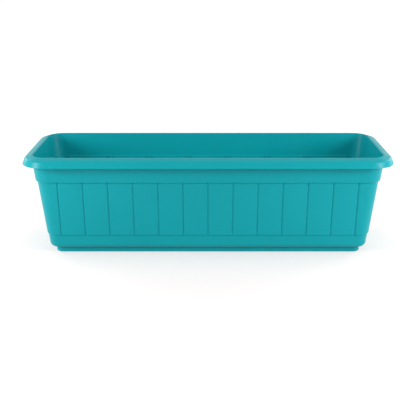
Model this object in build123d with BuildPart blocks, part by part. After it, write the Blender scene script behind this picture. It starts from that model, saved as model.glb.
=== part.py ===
"""Indoor herb planter: a slatted window-sill trough that stands in a shallow drip tray, with a lift-out
soil grate and push-in drain plugs. Millimetres, +Z up, origin on the table under the planter's middle."""

import os
from math import cos, radians, tan

from build123d import *

os.makedirs("parts", exist_ok=True)

# Overall sizes of the planter
rim_length = 500.0
rim_width = 175.0
total_height = 142.0
wall = 2.4  # moulded thickness of the trough
wall_lean = 5.4  # outward lean of every wall, in degrees

# Rim: a lip that falls away from a narrow land round the mouth, then turns down at its eaves
rim_overhang = 13.5  # lip's edge to the wall under it
rim_drop = 11.5
lip_land = 2.8  # flat round the mouth, with its rounded edge
lip_fall = 18.0  # fall of the lip's top, in degrees
lip_lean = 22.5  # lean of the lip's outer face, in degrees from upright
lip_roll = 4.7  # round of the eaves between them
corner_flare = 2.7  # how much rounder the lip's corner is than the mouth's
mouth_round = 1.2

# Wall: an upper band, a slatted panel and a foot band, each set in from the one above
band_height = 24.4  # from the lip's edge down to the upper step
band_step = 2.4
band_round = 1.8
band_corner = 21.0
panel_round = 1.2
panel_corner = 18.0
foot_height = 20.3
foot_step = 1.6
foot_round = 7.2
foot_corner = 15.0

# Slats: upright V grooves in the panel
groove_pitch = 33.7
groove_width = 3.6
groove_depth = 1.1
groove_runout = 3.0  # how far a groove's cut runs past the panel, under the bands

# Stacking ribs: gussets under the upper inner ledge, which keep nested troughs from jamming
rib_pitch = 59.0
rib_width = 4.0
rib_reach = 3.0
rib_height = 24.0

# Drip tray
tray_height = 7.9
tray_wall = 1.8
tray_floor = 1.8
tray_round = 1.8
tray_corner = 9.5
tray_land = 0.5  # flat of the trough's underside outside the tray
tray_gap = 0.3  # tray's edge to the trough's underside

# Foot ring of the trough, which stands on the tray's floor
ring_width = 2.6
ring_clearance = 1.2
notch_width = 14.0
notch_height = 2.4
notch_spread = 210.0  # distance between the two pairs of water notches in the ring

# Drain holes and their plugs
drain_count = 6
drain_margin = 44.0  # inner end wall at the floor to the first hole's centre
drain_radius = 6.0
plug_clearance = 0.3
plug_lead = 1.0
plug_reach = 2.0  # how far the shank passes the floor
head_radius = 9.0
head_height = 2.0
grip_radius = 2.6
grip_height = 3.0
knob_radius = 4.2
knob_height = 2.2

# Soil grate
grate_thickness = 2.2
grate_clearance = 0.6  # between the grate's edge and the wall
grate_gap = 0.3  # grate to the ledge under it, so that its legs carry the load
slot_pitch = 24.0
slot_width = 3.2
grate_border = 11.0  # solid edge outside the slots
grate_spine = 18.0  # solid strip between the two rows of slots
finger_radius = 11.0
finger_inset = 27.0  # grate's end to a finger hole's centre
finger_web = 8.0
leg_radius = 5.0
webs_per_leg = 3

# Levels above the table
slope = tan(radians(wall_lean))
trough_base = tray_height + tray_gap
floor_top = trough_base + wall
rim_edge = total_height - rim_drop
panel_base = trough_base + foot_height
band_base = rim_edge - band_height
lower_ledge = panel_base + wall
upper_ledge = band_base + wall

# Setbacks of the slatted panel and the foot band from the line of the upper band
panel_setback = band_step
foot_setback = band_step + foot_step


def wall_inset(level, setback):
    """Plan distance from the lip's edge in to the wall's outer face at a level."""
    return rim_overhang + (rim_edge - level) * slope + setback


def plan_size(inset):
    """Length and width of the plan at a distance in from the lip's edge."""
    return rim_length - 2 * inset, rim_width - 2 * inset


def leaning_block(low, high, inset, corner, edge_round=0.0):
    """Solid between two levels whose walls lean outward from an inset at its foot."""
    with BuildPart() as block:
        with BuildSketch(Plane.XY.offset(low)):
            Rectangle(*plan_size(inset))
        extrude(amount=high - low)
        draft(block.faces().filter_by(Axis.Z, reverse=True), Plane.XY.offset(low), -wall_lean)
        fillet(block.edges().group_by(Axis.Z)[1], corner)
        if edge_round:
            fillet(block.edges().group_by(Axis.Z)[0], edge_round)
    return block.part


def wall_layer(low, high, setback, corner, inward=0.0, edge_round=0.0):
    """Solid inside one stretch of the wall, moved inward by an even thickness."""
    return leaning_block(low, high, wall_inset(low, setback) + inward, corner - inward, edge_round)


def lip_block(inward=0.0):
    """Solid inside the lip's outer face, moved inward by an even thickness."""
    fall, lean = tan(radians(lip_fall)), tan(radians(lip_lean))
    inset = inward / cos(radians(lip_lean))
    sunk = inward / cos(radians(lip_fall))
    eaves = (rim_drop - sunk - (lip_run - inset) * fall) / (1 - fall * lean)  # above the lip's edge
    with BuildPart() as block:
        with BuildSketch(Plane.XY.offset(rim_edge)):
            RectangleRounded(*plan_size(inset), rim_corner - inset)
        extrude(amount=eaves, taper=lip_lean)
        extrude(block.faces().sort_by(Axis.Z)[-1], amount=rim_drop - inward - eaves, taper=90 - lip_fall)
        fillet(block.edges().group_by(Axis.Z)[-3], lip_roll - inward)
    return block.part


def groove_plane(outward, half_span):
    """Plane across the slats' run at the panel's foot, x along the wall and y into it."""
    run = outward * slope + Vector(0, 0, 1)
    foot = outward * (half_span - wall_inset(panel_base, panel_setback)) + Vector(0, 0, panel_base)
    across = outward.rotate(Axis.Z, 90)
    return Plane(origin=foot, x_dir=across, z_dir=run).offset(-groove_runout)


def groove_count(half_span):
    """Grooves at the pitch, one in the middle, on the straight of a wall."""
    inset = wall_inset(panel_base, panel_setback)
    straight = half_span - inset - panel_corner
    return 2 * int(straight / groove_pitch) + 1


# Plan of the lip round the mouth, and the reach of its outer face to the land
mouth_inset = wall_inset(total_height, 0.0) + wall
rim_corner = band_corner - wall + mouth_inset + corner_flare
lip_run = mouth_inset - lip_land

# Outer solid of each stretch of the trough's wall
band_solid = wall_layer(band_base, total_height - wall / 2, 0.0, band_corner, edge_round=band_round)
panel_solid = wall_layer(
    panel_base, band_base + wall / 2, panel_setback, panel_corner, edge_round=panel_round
)
foot_solid = wall_layer(trough_base, panel_base + wall / 2, foot_setback, foot_corner, edge_round=foot_round)

# Planting space, one stretch on another, so that the wall stays even and steps inside as well
with BuildPart() as planting_space:
    add(wall_layer(floor_top, lower_ledge, foot_setback, foot_corner, wall, foot_round - wall))
    add(wall_layer(lower_ledge, upper_ledge, panel_setback, panel_corner, wall))
    add(wall_layer(upper_ledge, total_height, 0.0, band_corner, wall))

# Tray and foot ring insets, which follow from the round of the foot
tray_inset = wall_inset(trough_base, foot_setback) + foot_round + tray_land
ring_inset = tray_inset + tray_wall + ring_clearance
ring_corner = tray_corner - tray_wall - ring_clearance

# Inner face of the long wall at the two ends of a stacking rib
rib_foot = upper_ledge - rib_height
rib_top_wall = rim_width / 2 - wall_inset(upper_ledge, panel_setback) - wall
rib_foot_wall = rim_width / 2 - wall_inset(rib_foot, panel_setback) - wall
ledge_inset = wall_inset(upper_ledge, panel_setback)
ledge_straight = rim_length / 2 - ledge_inset - panel_corner
rib_count = 2 * int(ledge_straight / rib_pitch + 0.5)
rib_places = [(number - (rib_count - 1) / 2) * rib_pitch for number in range(rib_count)]

# Drain holes in a row along the floor's middle
floor_reach = rim_length / 2 - wall_inset(floor_top, foot_setback) - wall
drain_pitch = 2 * (floor_reach - drain_margin) / (drain_count - 1)
drain_places = [(number - (drain_count - 1) / 2) * drain_pitch for number in range(drain_count)]

# Slatted stretch of the wall: grooves outside, stacking ribs rooted in the long walls inside
with BuildPart() as slatted_wall:
    add(panel_solid)
    for outward, half_span, along_span in (
        (Vector(0, -1, 0), rim_width / 2, rim_length / 2),
        (Vector(0, 1, 0), rim_width / 2, rim_length / 2),
        (Vector(-1, 0, 0), rim_length / 2, rim_width / 2),
        (Vector(1, 0, 0), rim_length / 2, rim_width / 2),
    ):
        with BuildSketch(groove_plane(outward, half_span)):
            with GridLocations(groove_pitch, 0, groove_count(along_span), 1):
                Polygon(
                    (-groove_width, -groove_depth),
                    (groove_width, -groove_depth),
                    (0, groove_depth),
                    align=None,
                )
        extrude(amount=band_base - panel_base + 2 * groove_runout, mode=Mode.SUBTRACT)
    add(planting_space.part, mode=Mode.SUBTRACT)
    with BuildSketch(*[Plane.YZ.offset(place) for place in rib_places]):
        Polygon(
            (rib_top_wall - rib_reach, upper_ledge),
            (rib_top_wall + wall / 2, upper_ledge),
            (rib_foot_wall + wall / 2, rib_foot),
            (rib_foot_wall, rib_foot),
            align=None,
        )
        mirror(about=Plane.YZ)
    extrude(amount=rib_width / 2, both=True)

# Drooping lip with the plain band under it
with BuildPart() as rim:
    add(lip_block())
    add(lip_block(wall), mode=Mode.SUBTRACT)
    add(band_solid)
    add(planting_space.part, mode=Mode.SUBTRACT)
    fillet(rim.faces().sort_by(Axis.Z)[-1].inner_wires()[0].edges(), mouth_round)

with BuildPart() as trough:
    # Foot band and floor
    add(foot_solid)
    add(planting_space.part, mode=Mode.SUBTRACT)
    with Locations(*[(place, 0, floor_top) for place in drain_places]):
        Hole(drain_radius, depth=2 * wall)

    # Foot ring with its water notches
    with BuildSketch(Plane.XY.offset(tray_floor)):
        RectangleRounded(*plan_size(ring_inset), ring_corner)
        offset(amount=-ring_width, mode=Mode.SUBTRACT)
    extrude(amount=trough_base - tray_floor + wall / 2)
    with BuildSketch(Plane.XY.offset(tray_floor)):
        with GridLocations(notch_spread, 0, 2, 1):
            Rectangle(notch_width, rim_width)
    extrude(amount=notch_height, mode=Mode.SUBTRACT)

    # The rest of the moulding
    add(slatted_wall.part)
    add(rim.part)

trough.part.label = "trough"
export_step(trough.part, "parts/trough.step")

# Drip tray, an upright wall round a flat floor
with BuildPart() as drip_tray:
    with BuildSketch():
        RectangleRounded(*plan_size(tray_inset), tray_corner)
    extrude(amount=tray_height)
    fillet(drip_tray.edges().group_by(Axis.Z)[0], tray_round)
    with BuildSketch(Plane.XY.offset(tray_floor)):
        RectangleRounded(*plan_size(tray_inset + tray_wall), tray_corner - tray_wall)
    extrude(amount=tray_height - tray_floor, mode=Mode.SUBTRACT)

drip_tray.part.label = "drip_tray"
export_step(drip_tray.part, "parts/drip_tray.step")

# Grate's plan, and where its slots, finger holes and legs come
grate_base = lower_ledge + grate_gap
grate_length, grate_width = plan_size(wall_inset(lower_ledge, panel_setback) + wall + grate_clearance)
grate_corner = panel_corner - wall - grate_clearance
slot_length = (grate_width - grate_spine) / 2 - grate_border
slot_row = (grate_spine + slot_length) / 2
finger_place = grate_length / 2 - finger_inset
slot_field = finger_place - finger_radius - finger_web
slot_columns = 2 * int(slot_field / slot_pitch + 0.5)
leg_pitch = webs_per_leg * slot_pitch
leg_columns = 2 * int(slot_field / leg_pitch) + 1

with BuildPart() as soil_grate:
    with BuildSketch(Plane.XY.offset(grate_base)):
        RectangleRounded(grate_length, grate_width, grate_corner)
        with GridLocations(slot_pitch, 2 * slot_row, slot_columns, 2):
            SlotOverall(slot_length, slot_width, rotation=90, mode=Mode.SUBTRACT)
        with GridLocations(2 * finger_place, 0, 2, 1):
            Circle(finger_radius, mode=Mode.SUBTRACT)
    extrude(amount=grate_thickness)
    with BuildSketch(Plane.XY.offset(grate_base)):
        with GridLocations(leg_pitch, 2 * slot_row, leg_columns, 2):
            Circle(leg_radius)
    extrude(amount=floor_top - grate_base)

soil_grate.part.label = "soil_grate"
export_step(soil_grate.part, "parts/soil_grate.step")

# Plug, from the tip of its shank up to its pull knob
shank_radius = drain_radius - plug_clearance
shank_tip = trough_base - plug_reach
head_top = floor_top + head_height
grip_top = head_top + grip_height

with BuildPart() as drain_plug:
    with BuildSketch(Plane.XZ):
        Polygon(
            (0, shank_tip),
            (shank_radius - plug_lead, shank_tip),
            (shank_radius, shank_tip + plug_lead),
            (shank_radius, floor_top),
            (head_radius, floor_top),
            (head_radius, head_top),
            (grip_radius, head_top),
            (grip_radius, grip_top),
            (knob_radius, grip_top),
            (knob_radius, grip_top + knob_height),
            (0, grip_top + knob_height),
            align=None,
        )
    revolve(axis=Axis.Z)

for number, place in enumerate(drain_places, start=1):
    plug = drain_plug.part.moved(Location((place, 0, 0)))
    plug.label = f"drain_plug_{number}"
    export_step(plug, f"parts/{plug.label}.step")
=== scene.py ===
from math import cos, radians, tan

import bpy
import numpy as np
from mathutils.geometry import delaunay_2d_cdt
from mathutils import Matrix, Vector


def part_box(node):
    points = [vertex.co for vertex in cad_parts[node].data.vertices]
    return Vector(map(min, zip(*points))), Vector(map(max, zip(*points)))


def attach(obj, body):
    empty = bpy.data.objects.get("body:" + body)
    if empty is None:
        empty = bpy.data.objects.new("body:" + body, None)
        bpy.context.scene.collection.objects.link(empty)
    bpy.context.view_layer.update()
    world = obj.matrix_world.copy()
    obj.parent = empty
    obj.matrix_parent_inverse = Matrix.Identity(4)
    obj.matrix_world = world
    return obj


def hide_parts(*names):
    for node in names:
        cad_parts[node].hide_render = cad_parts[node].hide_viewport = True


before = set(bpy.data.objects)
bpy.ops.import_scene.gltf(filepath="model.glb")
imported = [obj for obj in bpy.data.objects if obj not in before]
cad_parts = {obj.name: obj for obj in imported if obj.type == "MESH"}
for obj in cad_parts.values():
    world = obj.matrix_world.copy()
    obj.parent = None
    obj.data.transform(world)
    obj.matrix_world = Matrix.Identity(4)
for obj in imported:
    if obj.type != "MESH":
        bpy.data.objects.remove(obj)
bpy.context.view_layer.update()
mm = 0.001  # the pieces are worked out in millimetres and written in metres


# Shared tools for moulded pieces

moulding = {
    "leastTurn": 0.02,  # in radians: a corner that turns less stays as it is
    "leastShift": 0.01,  # an arc whose inset changes by less keeps an even plan radius
    "fewestSteps": 3,
    "mostSteps": 12,
    "hold": 0.6,  # distance from an arc to its holding rows
    "holdShare": 0.3,  # and the most that they take of the run that is left
    "cornerRoom": 2.0,  # straight run kept free before a corner of the plan
    "sharpAngle": 40,  # in degrees: edges that turn more stay sharp
}


# Lower and upper corner of a CAD node's box
def nodeBox(node):
    low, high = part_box(node)
    return np.array(low) / mm, np.array(high) / mm


# One corner of a section: inset, level, plan radius and weight, and the radius of the arc that rounds it
def sectionRow(inset, level, arc=0.0, plan=0.0, weight=0.0):
    return (inset, level, plan, weight), arc


# Each corner of a section becomes an arc that touches both its runs: it starts and ends
# radius * tan(turn / 2) from the corner and has 2 + 3 * turn * root of radius steps. On it the plan radius
# follows the inset and the weight the turn. Holding rows just outside the arc keep the flat runs flat.
def roundSection(rows, hold=moulding["hold"]):
    corners = np.array([corner for corner, radius in rows], float)
    radii = [radius for corner, radius in rows]
    section = [corners[:1]]
    for before, corner, after, radius in zip(corners, corners[1:], corners[2:], radii[1:]):
        runIn = before - corner
        runOut = after - corner
        spanIn = np.hypot(*runIn[:2])
        spanOut = np.hypot(*runOut[:2])
        cosine = np.dot(runIn[:2], runOut[:2]) / (spanIn * spanOut)
        turn = np.pi - np.arccos(np.clip(cosine, -1, 1))
        if radius == 0 or turn < moulding["leastTurn"]:
            section.append(corner[None])
            continue
        cut = radius * tan(turn / 2)
        start = corner + runIn * cut / spanIn
        end = corner + runOut * cut / spanOut
        middle = runIn[:2] / spanIn + runOut[:2] / spanOut
        centre = corner[:2] + middle / np.hypot(*middle) * radius / np.cos(turn / 2)
        wanted = 2 + 3 * turn * np.sqrt(radius)
        steps = int(np.clip(wanted, moulding["fewestSteps"], moulding["mostSteps"]))
        share = np.linspace(0, 1, steps + 1)[:, None]
        arc = start + (end - start) * share
        spoke = (start[:2] - centre) * np.sin((1 - share) * turn) + (end[:2] - centre) * np.sin(share * turn)
        arc[:, :2] = centre + spoke / np.sin(turn)
        shift = end[0] - start[0]
        if abs(shift) > moulding["leastShift"]:
            arc[:, 2] = start[2] + (end[2] - start[2]) * (arc[:, 0] - start[0]) / shift
        leadIn = min(hold, moulding["holdShare"] * (spanIn - cut)) / spanIn
        leadOut = min(hold, moulding["holdShare"] * (spanOut - cut)) / spanOut
        section += [(start + runIn * leadIn)[None], arc, (end + runOut * leadOut)[None]]
    section.append(corners[-1:])
    return np.concatenate(section)


# Wall of a round or slotted hole, from its lower rim up to its upper rim, with a flat lead round each rim
def holeSection(radius, low, high, rimRound, lead, hold):
    return roundSection([
        sectionRow(radius + lead, low),
        sectionRow(radius, low, rimRound),
        sectionRow(radius, high, rimRound),
        sectionRow(radius + lead, high),
    ], hold)


# Even places on both sides of the middle: (number - (count - 1) / 2) * pitch
def evenPlaces(count, pitch):
    return (np.arange(count) - (count - 1) / 2) * pitch


# Sample places in the middle of each centre and at the offsets on both its sides
def sideSamples(centres, offsets):
    both = np.concatenate([-offsets[::-1], [0.0], offsets])
    return (centres[:, None] + both).ravel()


# Half the straight runs of a plan's long and short sides: half size - inset - corner - room before the corner
def straightCores(half, inset, corner):
    return half - inset - corner - moulding["cornerRoom"]


# Columns round a rectangular plan, counter-clockwise from the front: on each side the given sample places,
# a few columns that stretch to the corner, then a quarter turn. Kept per column: facing, reach and place,
# so that a point is facing * radius + reach * (half size - inset - radius) + place.
def planColumns(longPlaces, shortPlaces, longCore, shortCore, turnSteps=20, stretchSteps=2):
    facing, reach, place = [], [], []
    outward = np.array([0.0, -1.0])
    for side in range(4):
        along = np.array([-outward[1], outward[0]])
        samples, core = (longPlaces, longCore) if side % 2 == 0 else (shortPlaces, shortCore)
        samples = np.sort(samples)[:, None]
        share = np.arange(1, stretchSteps + 1)[::-1, None] / (stretchSteps + 1)
        turn = np.linspace(0, np.pi / 2, turnSteps + 1)[:, None]
        flat = np.ones((len(samples) + 2 * stretchSteps, 1))
        facing += [flat * outward, np.cos(turn) * outward + np.sin(turn) * along]
        reach += [outward - share * along, np.ones_like(samples) * outward, outward + share[::-1] * along]
        reach += [np.ones_like(turn) * (outward + along)]
        place += [-(1 - share) * core * along, samples * along, (1 - share[::-1]) * core * along]
        place += [np.zeros((turnSteps + 1, 2))]
        outward = along
    return {"facing": np.concatenate(facing), "reach": np.concatenate(reach), "place": np.concatenate(place)}


# True for the columns at sample places of the sides that face along an axis: 0 the ends, 1 the long sides
def onSide(columns, axis):
    return (np.abs(columns["facing"][:, axis]) == 1) & (columns["reach"][:, 1 - axis] == 0)


# Carries a section round a plan; push moves rows and columns further in, lift moves them up
def sweepSection(columns, section, halfPlan, push=0.0, lift=0.0):
    inset, level, radius = (section[:, channel, None] for channel in range(3))
    grid = np.empty((len(section), len(columns["facing"]), 3))
    for axis in range(2):
        straight = halfPlan[axis] - inset - push - radius
        grid[:, :, axis] = columns["facing"][:, axis] * radius + columns["reach"][:, axis] * straight
        grid[:, :, axis] += columns["place"][:, axis]
    grid[:, :, 2] = level + lift
    return grid


# Turns a section about an upright line: x and y = centre + inset * cosine and sine
def turnSection(section, centre, steps):
    angle = np.linspace(0, 2 * np.pi, steps, endpoint=False)
    inset, level = section[:, 0, None], section[:, 1, None]
    x = centre[0] + inset * np.cos(angle)
    y = centre[1] + inset * np.sin(angle)
    return np.stack([x, y, level + 0 * x], axis=-1)


# Carries a section round a slot along y: a half round at each end of a straight run
def slotSection(section, centre, straight, steps):
    angle = np.linspace(0, np.pi, steps + 1)
    angle = np.concatenate([angle, angle + np.pi])
    shift = np.repeat([straight / 2, -straight / 2], steps + 1)
    inset, level = section[:, 0, None], section[:, 1, None]
    x = centre[0] + inset * np.cos(angle)
    y = centre[1] + inset * np.sin(angle) + shift
    return np.stack([x, y, level + 0 * x], axis=-1)


# An empty mesh: its points, its faces and the number of points so far
def startMesh():
    return {"points": [], "faces": [], "count": 0}


# Adds a grid of points, and quads between neighbouring rows and columns, the last column joined to the first
def addSurface(mesh, grid):
    index = mesh["count"] + np.arange(grid.size // 3).reshape(grid.shape[:-1])
    mesh["points"].append(grid.reshape(-1, 3))
    mesh["count"] += index.size
    beside = np.roll(index, -1, axis=1)
    quads = np.stack([index[:-1], index[1:], beside[1:], beside[:-1]], axis=-1)
    mesh["faces"] += quads.reshape(-1, 4).tolist()
    return index


# Flat face inside the first loop and outside the others, on the loops' own points. The other loops are holes
# and have no hollows, so a triangle with all three corners on one of them fills that hole and is left out.
def addCap(mesh, loops, faceUp):
    index = np.concatenate(loops)
    points = np.concatenate(mesh["points"])[index, :2]
    edges = []
    first = 0
    for loop in loops:
        ring = first + np.arange(len(loop))
        edges.append(np.stack([ring, np.roll(ring, -1)], axis=-1))
        first += len(loop)
    insideOnly, nearest = 1, 1e-6  # kind of result, and the distance under which points are one
    found = delaunay_2d_cdt(points.tolist(), np.concatenate(edges).tolist(), [], insideOnly, nearest)
    triangles = np.array(found[2])
    source = np.array(found[3])[:, 0]
    loopNumber = np.repeat(np.arange(len(loops)), [len(loop) for loop in loops])[source[triangles]]
    inHole = (loopNumber[:, 0] > 0) & (loopNumber == loopNumber[:, :1]).all(axis=1)
    triangles = triangles[~inHole]
    corner = np.array(found[0])[triangles]
    one = corner[:, 1] - corner[:, 0]
    two = corner[:, 2] - corner[:, 0]
    wrong = (one[:, 0] * two[:, 1] > one[:, 1] * two[:, 0]) != faceUp
    triangles[wrong] = triangles[wrong][:, ::-1]
    mesh["faces"] += index[source[triangles]].tolist()


# Writes a piece's mesh in metres, smooth apart from its sharp edges, and puts it on its body for its CAD node
def newPiece(name, mesh, material, body, node):
    data = bpy.data.meshes.new(name)
    data.from_pydata((np.concatenate(mesh["points"]) * mm).tolist(), [], mesh["faces"])
    data.polygons.foreach_set("use_smooth", np.ones(len(data.polygons), bool))
    data.set_sharp_from_angle(angle=radians(moulding["sharpAngle"]))
    data.materials.append(material)
    piece = bpy.data.objects.new(name, data)
    bpy.context.scene.collection.objects.link(piece)
    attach(piece, body)
    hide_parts(node)
    print("piece", name, "quads and triangles:", len(mesh["faces"]))


# Finishes

noiseSpan = (0.3, 0.7)  # most values of a noise texture lie between these
noiseDetail = {"drift": 3.0, "gloss": 4.0, "wave": 1.0, "grain": 2.0}  # how fine each noise goes


# A node at its place in the editor, with the given values on its sockets
def addNode(tree, kind, place, sockets=None):
    node = tree.nodes.new(kind)
    node.location = place
    for socket, value in (sockets or {}).items():
        node.inputs[socket].default_value = value
    return node


# Maps one span of values evenly on another
def addMapRange(tree, place, spanIn, spanOut):
    sockets = dict(zip(("From Min", "From Max", "To Min", "To Max"), (*spanIn, *spanOut)))
    return addNode(tree, "ShaderNodeMapRange", place, sockets)


# Moulded plastic: pigment drifts between two near colours, the skin has a fine mould grain and a faint
# waviness from shrinkage, and its gloss varies a little from place to place
def mouldedPlastic(name, finish):
    material = bpy.data.materials.new(name)
    material.use_nodes = True
    tree = material.node_tree
    shader = tree.nodes["Principled BSDF"]
    shader.inputs["IOR"].default_value = finish["ior"]
    shader.inputs["Specular IOR Level"].default_value = finish["shine"]
    place = addNode(tree, "ShaderNodeTexCoord", (-1200, 0))
    noise = {}
    for row, (kind, detail) in enumerate(noiseDetail.items()):
        sockets = {"Scale": finish[kind + "Scale"], "Detail": detail}
        noise[kind] = addNode(tree, "ShaderNodeTexNoise", (-900, 300 - 300 * row), sockets)
        tree.links.new(place.outputs["Object"], noise[kind].inputs["Vector"])
    colours = addNode(tree, "ShaderNodeValToRGB", (-600, 300))
    for element, edge, key in zip(colours.color_ramp.elements, noiseSpan, ("deepColour", "lightColour")):
        element.position = edge
        element.color = (*finish[key], 1)
    rough = addMapRange(tree, (-600, 0), noiseSpan, finish["roughness"])
    sink = addNode(tree, "ShaderNodeBump", (-500, -300), {"Strength": 1.0, "Distance": finish["waveDepth"]})
    skin = addNode(tree, "ShaderNodeBump", (-250, -450), {"Strength": 1.0, "Distance": finish["grainDepth"]})
    tree.links.new(noise["drift"].outputs["Fac"], colours.inputs["Fac"])
    tree.links.new(colours.outputs["Color"], shader.inputs["Base Color"])
    tree.links.new(noise["gloss"].outputs["Fac"], rough.inputs["Value"])
    tree.links.new(rough.outputs["Result"], shader.inputs["Roughness"])
    tree.links.new(noise["wave"].outputs["Fac"], sink.inputs["Height"])
    tree.links.new(noise["grain"].outputs["Fac"], skin.inputs["Height"])
    tree.links.new(sink.outputs["Normal"], skin.inputs["Normal"])
    tree.links.new(skin.outputs["Normal"], shader.inputs["Normal"])
    return material


tealSatin = mouldedPlastic("tealSatinPlastic", {
    "deepColour": (0.0015, 0.318, 0.362),
    "lightColour": (0.0025, 0.338, 0.384),
    "ior": 1.46,
    "shine": 0.19,
    "roughness": (0.32, 0.40),
    "driftScale": 7.0,
    "glossScale": 26.0,
    "waveScale": 16.0,
    "waveDepth": 0.0004,
    "grainScale": 1500.0,
    "grainDepth": 0.000012,
})
tealTray = mouldedPlastic("tealTrayPlastic", {
    "deepColour": (0.0015, 0.310, 0.354),
    "lightColour": (0.0025, 0.330, 0.376),
    "ior": 1.46,
    "shine": 0.17,
    "roughness": (0.38, 0.48),
    "driftScale": 9.0,
    "glossScale": 30.0,
    "waveScale": 20.0,
    "waveDepth": 0.0003,
    "grainScale": 1300.0,
    "grainDepth": 0.000016,
})
blackGrate = mouldedPlastic("recycledBlackPlastic", {
    "deepColour": (0.026, 0.027, 0.029),
    "lightColour": (0.036, 0.037, 0.040),
    "ior": 1.48,
    "shine": 0.4,
    "roughness": (0.46, 0.56),
    "driftScale": 40.0,
    "glossScale": 60.0,
    "waveScale": 14.0,
    "waveDepth": 0.0001,
    "grainScale": 1000.0,
    "grainDepth": 0.000025,
})
plugRubber = mouldedPlastic("plugRubber", {
    "deepColour": (0.016, 0.016, 0.017),
    "lightColour": (0.034, 0.034, 0.035),
    "ior": 1.52,
    "shine": 0.4,
    "roughness": (0.62, 0.80),
    "driftScale": 220.0,
    "glossScale": 300.0,
    "waveScale": 120.0,
    "waveDepth": 0.0001,
    "grainScale": 2500.0,
    "grainDepth": 0.00002,
})
print("finishes made")


# Trough: one moulded shell, up from the floor inside, over the rim, down the slats and under the foot

trough = {
    "wall": 2.4,
    "lean": 5.4,
    "overhang": 13.5,
    "rimDrop": 11.5,
    "lipLand": 2.8,
    "lipFall": 18.0,
    "lipLean": 22.5,
    "lipRoll": 4.7,
    "lipBend": 3.0,
    "lipEdgeRound": 0.2,
    "lipHollowRound": 0.3,
    "lipRootRound": 1.0,
    "cornerFlare": 2.7,
    "mouthRound": 1.2,
    "bandHeight": 24.4,
    "bandStep": 2.4,
    "bandRound": 1.8,
    "bandCorner": 21.0,
    "panelRound": 1.2,
    "panelCorner": 18.0,
    "footHeight": 20.3,
    "footStep": 1.6,
    "footRound": 7.2,
    "footCorner": 15.0,
    "stepRound": 0.25,
    "edgeRound": 0.5,
    "floorLead": 1.5,  # flat runs past the rounds at the floor and under the foot
    "underLead": 0.2,
    "trayGap": 0.3,
    "groovePitch": 33.7,
    "grooveWidth": 3.6,
    "grooveDepth": 1.1,
    "grooveNarrow": 1.3,
    "grooveSamples": (0.12, 0.27, 0.44, 0.62, 0.81, 1.0),  # shares of the half width
    "longGrooves": 13,
    "longMargin": 0.1,  # from the outermost samples to the stretch columns
    "endGrooves": 3,
    "endMargin": 2.0,
    "ribPitch": 59.0,
    "ribCount": 8,
    "ribWidth": 4.0,
    "ribReach": 3.0,
    "ribHeight": 24.0,
    "ribRoot": 0.8,
    "ribBevel": 0.3,
    "ribPower": 0.2,
    "ribSteps": 40,
}

troughLow, troughHigh = nodeBox("trough")
trayLow, trayHigh = nodeBox("drip_tray")
halfPlan = troughHigh[:2]
slope = tan(radians(trough["lean"]))
wall = trough["wall"]
rimTop = troughHigh[2]
rimEdge = rimTop - trough["rimDrop"]
bandBase = rimEdge - trough["bandHeight"]
troughBase = trayHigh[2] + trough["trayGap"]
floorTop = troughBase + wall
panelBase = troughBase + trough["footHeight"]
lowerLedge = panelBase + wall
upperLedge = bandBase + wall
ribFoot = upperLedge - trough["ribHeight"]
panelSet = trough["bandStep"]
footSet = trough["bandStep"] + trough["footStep"]


# Inset of the wall's outer face: overhang + depth below the rim's edge * slope + setback of the stretch
def wallInset(level, setback):
    return trough["overhang"] + (rimEdge - level) * slope + setback


# Lip: its top falls from a narrow land round the mouth to the eaves, where it turns down into a leaning face.
# At a depth under that skin the two lines are depth / cosine further in, and they cross at the height
# (drop - sunk - (run - inset) * fall) / (1 - fall * lean) above the lip's edge
def lipLine(depth, lipRun):
    fall, lean = tan(radians(trough["lipFall"])), tan(radians(trough["lipLean"]))
    inset = depth / cos(radians(trough["lipLean"]))
    sunk = depth / cos(radians(trough["lipFall"]))
    eaves = (trough["rimDrop"] - sunk - (lipRun - inset) * fall) / (1 - fall * lean)
    return inset, inset + eaves * lean, rimEdge + eaves


# Rows of the lip, from the mouth over the land and the eaves to the edge, and back up inside its hollow.
# Its plan radius is the rim's corner - inset
def lipRows(bandCorner):
    mouthInset = wallInset(rimTop, 0) + wall
    rimCorner = bandCorner - wall + mouthInset + trough["cornerFlare"]
    lipRun = mouthInset - trough["lipLand"]
    edge, eaves, eavesLevel = lipLine(0, lipRun)
    innerEdge, innerEaves, innerLevel = lipLine(wall, lipRun)
    return [
        sectionRow(mouthInset, rimTop, trough["mouthRound"], bandCorner - wall),
        sectionRow(lipRun, rimTop, trough["lipBend"], rimCorner - lipRun),
        sectionRow(eaves, eavesLevel, trough["lipRoll"], rimCorner - eaves),
        sectionRow(edge, rimEdge, trough["lipEdgeRound"], rimCorner),
        sectionRow(innerEdge, rimEdge, trough["lipHollowRound"], rimCorner - innerEdge),
        sectionRow(innerEaves, innerLevel, trough["lipRoll"] - wall, rimCorner - innerEaves),
        sectionRow(wallInset(rimTop - wall, 0), rimTop - wall, trough["lipRootRound"], bandCorner),
    ]


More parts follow.
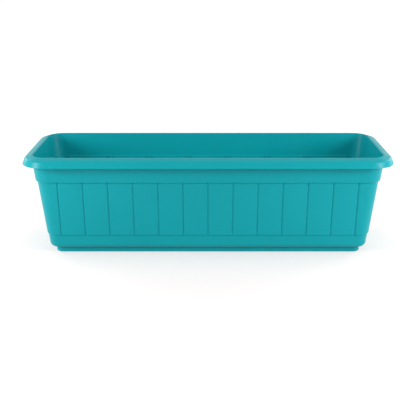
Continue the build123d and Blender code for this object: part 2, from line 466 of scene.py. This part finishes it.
# Rows of the whole shell. Each inner face is one wall's thickness from the outer one, and the weight is that
# of the slat grooves
def shellSection():
    bandCorner, panelCorner, footCorner = (trough[key] for key in ("bandCorner", "panelCorner", "footCorner"))
    edge, step = trough["edgeRound"], trough["stepRound"]
    floorRound = trough["footRound"] - wall
    floorInset = wallInset(floorTop, footSet) + wall
    footInset = wallInset(troughBase, footSet)
    floorRun = floorRound + trough["floorLead"]
    underRun = trough["footRound"] + trough["underLead"]
    return roundSection([
        sectionRow(floorInset + floorRun, floorTop, 0, footCorner - wall - floorRun),
        sectionRow(floorInset, floorTop, floorRound, footCorner - wall),
        sectionRow(wallInset(lowerLedge, footSet) + wall, lowerLedge, edge, footCorner - wall),
        sectionRow(wallInset(lowerLedge, panelSet) + wall, lowerLedge, edge, panelCorner - wall),
        sectionRow(wallInset(upperLedge, panelSet) + wall, upperLedge, edge, panelCorner - wall),
        sectionRow(wallInset(upperLedge, 0) + wall, upperLedge, edge, bandCorner - wall),
        *lipRows(bandCorner),
        sectionRow(wallInset(bandBase, 0), bandBase, trough["bandRound"], bandCorner),
        sectionRow(wallInset(bandBase, panelSet), bandBase, step, panelCorner, weight=1),
        sectionRow(wallInset(panelBase, panelSet), panelBase, trough["panelRound"], panelCorner, weight=1),
        sectionRow(wallInset(panelBase, footSet), panelBase, step, footCorner),
        sectionRow(footInset, troughBase, trough["footRound"], footCorner),
        sectionRow(footInset + underRun, troughBase, 0, footCorner - underRun),
    ])


# Depth of a slat groove, from 1 in its middle to 0 at its edges: half of 1 + cosine of the way across,
# to a power
def grooveShape(place, centres):
    across = np.abs(place[:, None] - centres).min(axis=1) / (trough["grooveWidth"] / 2)
    return ((1 + np.cos(np.pi * np.clip(across, 0, 1))) / 2) ** trough["grooveNarrow"]


# A stacking rib, rooted in the long wall: its plan is a squared oval, |cosine| and |sine| to a low power with
# their signs, and its face comes forward from the wall in proportion to the height above the rib's foot
def ribGrid(place, side):
    bevel = trough["ribBevel"]
    level = np.array([upperLedge, upperLedge - bevel, ribFoot])[:, None]
    trim = np.array([bevel, 0, 0])[:, None]
    wallFace = halfPlan[1] - wallInset(level, panelSet) - wall
    face = wallFace - trough["ribReach"] * (level - ribFoot) / trough["ribHeight"] + trim
    root = wallFace + trough["ribRoot"]
    angle = np.linspace(0, 2 * np.pi, trough["ribSteps"], endpoint=False)
    x = np.sign(np.cos(angle)) * np.abs(np.cos(angle)) ** trough["ribPower"]
    y = np.sign(np.sin(angle)) * np.abs(np.sin(angle)) ** trough["ribPower"]
    grid = np.empty((len(level), len(angle), 3))
    grid[:, :, 0] = place + (trough["ribWidth"] / 2 - trim) * x
    grid[:, :, 1] = side * (root + face) / 2 + (root - face) / 2 * y
    grid[:, :, 2] = level
    return grid


grooveOffsets = np.array(trough["grooveSamples"]) * trough["grooveWidth"] / 2
longGrooves = evenPlaces(trough["longGrooves"], trough["groovePitch"])
endGrooves = evenPlaces(trough["endGrooves"], trough["groovePitch"])
longPlaces = sideSamples(longGrooves, grooveOffsets)
endPlaces = sideSamples(endGrooves, grooveOffsets)
longCore = longPlaces.max() + trough["longMargin"]
endCore = endPlaces.max() + trough["endMargin"]
shellColumns = planColumns(longPlaces, endPlaces, longCore, endCore)

section = shellSection()
groovePattern = onSide(shellColumns, 1) * grooveShape(shellColumns["place"][:, 0], longGrooves)
groovePattern += onSide(shellColumns, 0) * grooveShape(shellColumns["place"][:, 1], endGrooves)
push = section[:, 3, None] * trough["grooveDepth"] * groovePattern

troughMesh = startMesh()
shellIndex = addSurface(troughMesh, sweepSection(shellColumns, section, halfPlan, push))
for place in evenPlaces(trough["ribCount"], trough["ribPitch"]):
    for side in (-1, 1):
        ribIndex = addSurface(troughMesh, ribGrid(place, side))
        addCap(troughMesh, [ribIndex[0]], True)
        addCap(troughMesh, [ribIndex[-1]], False)

# Foot ring under the floor, with water notches through its long sides. It stands in the drip tray's basin, so
# the tray's sizes come first
tray = {
    "land": 0.5,  # from the round of the trough's foot in to the tray's wall
    "corner": 9.5,
    "wall": 1.8,
    "floor": 1.8,
    "footRound": 1.8,
    "rimRound": 0.6,
    "floorRound": 1.0,
    "floorLead": 3.0,  # flat runs past the rounds at the floor and under the foot
    "underLead": 4.0,
    "longPlaces": np.linspace(-150, 150, 7),
    "endPlaces": np.linspace(-20, 20, 3),
    "turnSteps": 16,
}
footRing = {
    "width": 2.6,
    "clearance": 1.2,
    "edgeRound": 0.4,
    "notchWidth": 14.0,
    "notchHeight": 2.4,
    "notchCount": 2,
    "notchSpread": 210.0,
    "notchRamp": 0.5,
    "turnSteps": 12,
}

trayInset = wallInset(troughBase, footSet) + trough["footRound"] + tray["land"]
basinInset = trayInset + tray["wall"]
ringInset = basinInset + footRing["clearance"]
ringCorner = tray["corner"] - tray["wall"] - footRing["clearance"]
ringInner = ringInset + footRing["width"]
ringInnerCorner = ringCorner - footRing["width"]
ringBase = troughLow[2]
ringSection = roundSection([
    sectionRow(ringInset, troughBase, 0, ringCorner),
    sectionRow(ringInset, ringBase, footRing["edgeRound"], ringCorner, weight=1),
    sectionRow(ringInner, ringBase, footRing["edgeRound"], ringInnerCorner, weight=1),
    sectionRow(ringInner, troughBase, 0, ringInnerCorner),
])
notchPlaces = evenPlaces(footRing["notchCount"], footRing["notchSpread"])
rampSamples = np.array([-0.5, 0.0, 0.5])  # both ends and the middle of a ramp
notchOffsets = footRing["notchWidth"] / 2 + footRing["notchRamp"] * rampSamples
ringColumns = planColumns(
    np.append(sideSamples(notchPlaces, notchOffsets), 0.0),
    np.array([0.0]),
    *straightCores(halfPlan, ringInset, ringCorner),
    footRing["turnSteps"],
)
# A notch is whole inside its width and fades over the ramp at its edges: half - distance past the edge / ramp
across = np.abs(ringColumns["place"][:, 0, None] - notchPlaces).min(axis=1) - footRing["notchWidth"] / 2
notchPattern = onSide(ringColumns, 1) * np.clip(0.5 - across / footRing["notchRamp"], 0, 1)
lift = ringSection[:, 3, None] * footRing["notchHeight"] * notchPattern
ringIndex = addSurface(troughMesh, sweepSection(ringColumns, ringSection, halfPlan, 0.0, lift))

# Drain holes through the floor, each where its plug is, with rounded rims
drain = {"radius": 6.0, "rimRound": 0.5, "lead": 1.2, "hold": 0.2, "steps": 48}

plugNames = sorted(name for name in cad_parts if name.startswith("drain_plug_"))
plugPlaces = [sum(nodeBox(name)) / 2 for name in plugNames]
drainSection = holeSection(
    drain["radius"], troughBase, floorTop, drain["rimRound"], drain["lead"], drain["hold"])
drainIndex = []
for place in plugPlaces:
    drainIndex.append(addSurface(troughMesh, turnSection(drainSection, place[:2], drain["steps"])))

addCap(troughMesh, [shellIndex[0]] + [index[-1] for index in drainIndex], True)
addCap(troughMesh, [shellIndex[-1], ringIndex[0]], False)
addCap(troughMesh, [ringIndex[-1]] + [index[0] for index in drainIndex], False)
newPiece("planterTrough", troughMesh, tealSatin, "trough", "trough")


# Drip tray: a shallow basin whose rim stays just under the trough's foot

basinCorner = tray["corner"] - tray["wall"]
traySection = roundSection([
    sectionRow(basinInset + tray["floorLead"], tray["floor"], 0, basinCorner - tray["floorLead"]),
    sectionRow(basinInset, tray["floor"], tray["floorRound"], basinCorner),
    sectionRow(basinInset, trayHigh[2], tray["rimRound"], basinCorner),
    sectionRow(trayInset, trayHigh[2], tray["rimRound"], tray["corner"]),
    sectionRow(trayInset, trayLow[2], tray["footRound"], tray["corner"]),
    sectionRow(trayInset + tray["underLead"], trayLow[2], 0, tray["corner"] - tray["underLead"]),
])
trayCores = straightCores(halfPlan, trayInset, tray["corner"])
trayColumns = planColumns(tray["longPlaces"], tray["endPlaces"], *trayCores, tray["turnSteps"])
trayMesh = startMesh()
trayIndex = addSurface(trayMesh, sweepSection(trayColumns, traySection, halfPlan))
addCap(trayMesh, [trayIndex[0]], True)
addCap(trayMesh, [trayIndex[-1]], False)
newPiece("dripTray", trayMesh, tealTray, "tray", "drip_tray")


# Soil grate: a slotted plate on legs, with a finger hole at each end

grate = {
    "thickness": 2.2,
    "corner": 15.0,
    "edgeRound": 0.7,
    "edgeLead": 3.0,
    "longPlaces": np.linspace(-190, 190, 9),
    "endPlaces": np.linspace(-30, 30, 3),
    "slotPitch": 24.0,
    "slotWidth": 3.2,
    "slotColumns": 14,
    "border": 11.0,
    "spine": 18.0,
    "slotRound": 0.35,
    "slotSteps": 8,
    "fingerRadius": 11.0,
    "fingerInset": 27.0,
    "fingerRound": 0.7,
    "fingerSteps": 64,
    "holeLead": 0.3,  # flat lead past the round of a slot's or a finger hole's rim
    "holeHold": 0.15,
    "legRadius": 5.0,
    "legRows": 5,
    "websPerLeg": 3,
    "legRoot": 1.6,
    "legRootLead": 0.4,
    "legRound": 0.8,
    "legCap": 2.0,
    "legSteps": 32,
}

grateLow, grateHigh = nodeBox("soil_grate")
grateTop = grateHigh[2]
grateBase = grateTop - grate["thickness"]
grateHalf = grateHigh[:2]
slotLength = (2 * grateHalf[1] - grate["spine"]) / 2 - grate["border"]
slotRow = (grate["spine"] + slotLength) / 2
plateSection = roundSection([
    sectionRow(grate["edgeLead"], grateTop, 0, grate["corner"] - grate["edgeLead"]),
    sectionRow(0, grateTop, grate["edgeRound"], grate["corner"]),
    sectionRow(0, grateBase, grate["edgeRound"], grate["corner"]),
    sectionRow(grate["edgeLead"], grateBase, 0, grate["corner"] - grate["edgeLead"]),
])
plateCores = straightCores(grateHalf, 0, grate["corner"])
plateColumns = planColumns(grate["longPlaces"], grate["endPlaces"], *plateCores)
grateMesh = startMesh()
plateIndex = addSurface(grateMesh, sweepSection(plateColumns, plateSection, grateHalf))
topLoops, baseLoops = [plateIndex[0]], [plateIndex[-1]]


# Wall of a hole through the plate
def plateHole(radius, rimRound):
    return holeSection(radius, grateBase, grateTop, rimRound, rimRound + grate["holeLead"], grate["holeHold"])


# Centres in the front and the back row of slots
def bothRows(places):
    return [(x, y) for x in places for y in (-slotRow, slotRow)]


slotHole = plateHole(grate["slotWidth"] / 2, grate["slotRound"])
slotRun = slotLength - grate["slotWidth"]
slotCentres = bothRows(evenPlaces(grate["slotColumns"], grate["slotPitch"]))
fingerHole = plateHole(grate["fingerRadius"], grate["fingerRound"])
fingerX = grateHalf[0] - grate["fingerInset"]
holeGrids = [slotSection(slotHole, centre, slotRun, grate["slotSteps"]) for centre in slotCentres]
holeGrids += [turnSection(fingerHole, (x, 0), grate["fingerSteps"]) for x in (-fingerX, fingerX)]
for grid in holeGrids:
    holeIndex = addSurface(grateMesh, grid)
    baseLoops.append(holeIndex[0])
    topLoops.append(holeIndex[-1])

legSection = roundSection([
    sectionRow(grate["legRadius"] + grate["legRoot"] + grate["legRootLead"], grateBase),
    sectionRow(grate["legRadius"], grateBase, grate["legRoot"]),
    sectionRow(grate["legRadius"], grateLow[2], grate["legRound"]),
    sectionRow(grate["legRadius"] - grate["legCap"], grateLow[2]),
])
for centre in bothRows(evenPlaces(grate["legRows"], grate["websPerLeg"] * grate["slotPitch"])):
    legIndex = addSurface(grateMesh, turnSection(legSection, centre, grate["legSteps"]))
    addCap(grateMesh, [legIndex[-1]], False)
    baseLoops.append(legIndex[0])
addCap(grateMesh, topLoops, True)
addCap(grateMesh, baseLoops, False)
newPiece("soilGrate", grateMesh, blackGrate, "grate", "soil_grate")


# Drain plugs: turned from the knob's top down to the tip of the shank

plug = {
    "capRadius": 2.0,
    "knobRadius": 4.2,
    "knobHeight": 2.2,
    "knobRound": 0.8,
    "knobUnderRound": 0.5,
    "gripRadius": 2.6,
    "gripHeight": 3.0,
    "gripTopRound": 0.3,
    "gripRootRound": 0.8,
    "headRadius": 9.0,
    "headHeight": 2.0,
    "headRound": 0.6,
    "headUnderRound": 0.3,
    "shankRadius": 5.7,
    "shankRootRound": 0.2,
    "lead": 1.0,
    "leadRound": 0.4,
    "tipRound": 0.3,
    "hold": 0.2,
    "steps": 48,
}

plugLow, plugHigh = nodeBox(plugNames[0])
knobBase = plugHigh[2] - plug["knobHeight"]
headTop = knobBase - plug["gripHeight"]
headBase = headTop - plug["headHeight"]
plugSection = roundSection([
    sectionRow(plug["capRadius"], plugHigh[2]),
    sectionRow(plug["knobRadius"], plugHigh[2], plug["knobRound"]),
    sectionRow(plug["knobRadius"], knobBase, plug["knobUnderRound"]),
    sectionRow(plug["gripRadius"], knobBase, plug["gripTopRound"]),
    sectionRow(plug["gripRadius"], headTop, plug["gripRootRound"]),
    sectionRow(plug["headRadius"], headTop, plug["headRound"]),
    sectionRow(plug["headRadius"], headBase, plug["headUnderRound"]),
    sectionRow(plug["shankRadius"], headBase, plug["shankRootRound"]),
    sectionRow(plug["shankRadius"], plugLow[2] + plug["lead"], plug["leadRound"]),
    sectionRow(plug["shankRadius"] - plug["lead"], plugLow[2], plug["tipRound"]),
    sectionRow(plug["capRadius"], plugLow[2]),
], plug["hold"])
for name, place in zip(plugNames, plugPlaces):
    plugMesh = startMesh()
    plugIndex = addSurface(plugMesh, turnSection(plugSection, place[:2], plug["steps"]))
    addCap(plugMesh, [plugIndex[0]], True)
    addCap(plugMesh, [plugIndex[-1]], False)
    number = name.rsplit("_", 1)[1]
    newPiece("drainPlug" + number, plugMesh, plugRubber, "plug_" + number, name)


# Studio: a white floor that keeps the planter's shadow, a white room and soft lamps

studio = {
    "floorHalf": 8.0,
    "floorColour": (0.72, 0.72, 0.72),
    "seenFloorColour": (0.685, 0.62, 0.612),
    "glowNear": (0.20, 0.385),  # distance from the planter's middle and strength
    "glowFar": (0.90, 0.735),
    "roomColour": (1, 1, 1, 1),
    "roomLight": 0.465,
    "seenRoomLight": 1.0,
    "lamps": {
        "overhead": {"place": (0, -0.05, 1.2), "size": (1.0, 0.5), "watts": 1.3},
        "leftSide": {"place": (-0.8, -0.46, 0.36), "size": (0.22, 0.3), "watts": 4.9},
        "rightSide": {"place": (0.8, -0.46, 0.36), "size": (0.22, 0.3), "watts": 4.9},
        "leftBack": {"place": (-0.9, 0.5, 0.4), "size": (0.5, 0.5), "watts": 2.4},
        "rightBack": {"place": (0.9, 0.5, 0.4), "size": (0.5, 0.5), "watts": 2.4},
    },
    "lampAim": (0, 0, 0.08),
}


# 1 for rays from the camera and from glossy and clear surfaces, 0 for those that only carry light
def seenRays(tree):
    rays = addNode(tree, "ShaderNodeLightPath", (-1300, 0))
    shown = rays.outputs["Is Camera Ray"]
    for kind, spot in (("Is Glossy Ray", -1100), ("Is Transmission Ray", -900)):
        either = addNode(tree, "ShaderNodeMath", (spot, 0))
        either.operation = "MAXIMUM"
        tree.links.new(shown, either.inputs[0])
        tree.links.new(rays.outputs[kind], either.inputs[1])
        shown = either.outputs[0]
    return shown


# Floor: plain white paint with a white glow on top of it where it is seen, so that the floor shows white and
# still keeps the planter's shadow. The lamps reach less of the far floor, so the glow rises with distance.
# The paint that is seen is a little warm, which evens out the teal light that the planter throws on it.
def floorPaint():
    material = bpy.data.materials.new("studioFloorPaint")
    material.use_nodes = True
    tree = material.node_tree
    tree.nodes.remove(tree.nodes["Principled BSDF"])
    plain, seen = ((*studio[key], 1) for key in ("floorColour", "seenFloorColour"))
    paint = addNode(tree, "ShaderNodeBsdfDiffuse", (-500, 300), {"Color": plain})
    seenPaint = addNode(tree, "ShaderNodeBsdfDiffuse", (-500, 150), {"Color": seen})
    paints = addNode(tree, "ShaderNodeMixShader", (-300, 200))
    glow = addNode(tree, "ShaderNodeEmission", (-300, -100))
    level = addNode(tree, "ShaderNodeMath", (-500, -100))
    level.operation = "MULTIPLY"
    place = addNode(tree, "ShaderNodeTexCoord", (-1100, -300))
    away = addNode(tree, "ShaderNodeVectorMath", (-900, -300))
    away.operation = "LENGTH"
    distances, strengths = zip(studio["glowNear"], studio["glowFar"])
    rise = addMapRange(tree, (-700, -300), distances, strengths)
    both = addNode(tree, "ShaderNodeAddShader", (-100, 100))
    shown = seenRays(tree)
    tree.links.new(place.outputs["Object"], away.inputs[0])
    tree.links.new(away.outputs["Value"], rise.inputs["Value"])
    tree.links.new(shown, level.inputs[0])
    tree.links.new(rise.outputs["Result"], level.inputs[1])
    tree.links.new(level.outputs[0], glow.inputs["Strength"])
    tree.links.new(shown, paints.inputs["Fac"])
    tree.links.new(paint.outputs["BSDF"], paints.inputs[1])
    tree.links.new(seenPaint.outputs["BSDF"], paints.inputs[2])
    tree.links.new(paints.outputs["Shader"], both.inputs[0])
    tree.links.new(glow.outputs["Emission"], both.inputs[1])
    tree.links.new(both.outputs["Shader"], tree.nodes["Material Output"].inputs["Surface"])
    return material


half = studio["floorHalf"]
floorCorners = [(-half, -half, 0), (half, -half, 0), (half, half, 0), (-half, half, 0)]
floorData = bpy.data.meshes.new("studioFloor")
floorData.from_pydata(floorCorners, [], [(0, 1, 2, 3)])
floorData.materials.append(floorPaint())
floor = bpy.data.objects.new("studioFloor", floorData)
bpy.context.scene.collection.objects.link(floor)

room = bpy.data.worlds.new("studioRoom")
room.use_nodes = True
bpy.context.scene.world = room
roomTree = room.node_tree
roomLight = roomTree.nodes["Background"]
roomLight.inputs["Color"].default_value = studio["roomColour"]
roomLight.inputs["Strength"].default_value = studio["roomLight"]
seenRoom = {"Color": studio["roomColour"], "Strength": studio["seenRoomLight"]}
roomWhite = addNode(roomTree, "ShaderNodeBackground", (0, -200), seenRoom)
roomBlend = addNode(roomTree, "ShaderNodeMixShader", (200, 0))
roomTree.links.new(seenRays(roomTree), roomBlend.inputs["Fac"])
roomTree.links.new(roomLight.outputs["Background"], roomBlend.inputs[1])
roomTree.links.new(roomWhite.outputs["Background"], roomBlend.inputs[2])
roomTree.links.new(roomBlend.outputs["Shader"], roomTree.nodes["World Output"].inputs["Surface"])

for name, lamp in studio["lamps"].items():
    lampData = bpy.data.lights.new(name, "AREA")
    lampData.shape = "RECTANGLE"
    lampData.size, lampData.size_y = lamp["size"]
    lampData.energy = lamp["watts"]
    lampObject = bpy.data.objects.new(name, lampData)
    lampObject.location = lamp["place"]
    aim = Vector(studio["lampAim"]) - lampObject.location
    lampObject.rotation_euler = aim.to_track_quat("-Z", "Y").to_euler()
    bpy.context.scene.collection.objects.link(lampObject)
print("studio lit by", len(studio["lamps"]), "lamps")

# Camera at the photograph's place, level from side to side and looking a little down
view = {"lens": 66.465, "sensor": 36.0, "place": (0.0, -1.0552, 0.3994), "down": 18.425}

cameraData = bpy.data.cameras.new("photoCamera")
cameraData.sensor_width = view["sensor"]
cameraData.lens = view["lens"]
camera = bpy.data.objects.new("photoCamera", cameraData)
camera.location = view["place"]
camera.rotation_euler = (radians(90 - view["down"]), 0, 0)
bpy.context.scene.collection.objects.link(camera)
bpy.context.scene.camera = camera
bpy.context.scene.view_settings.view_transform = "Standard"
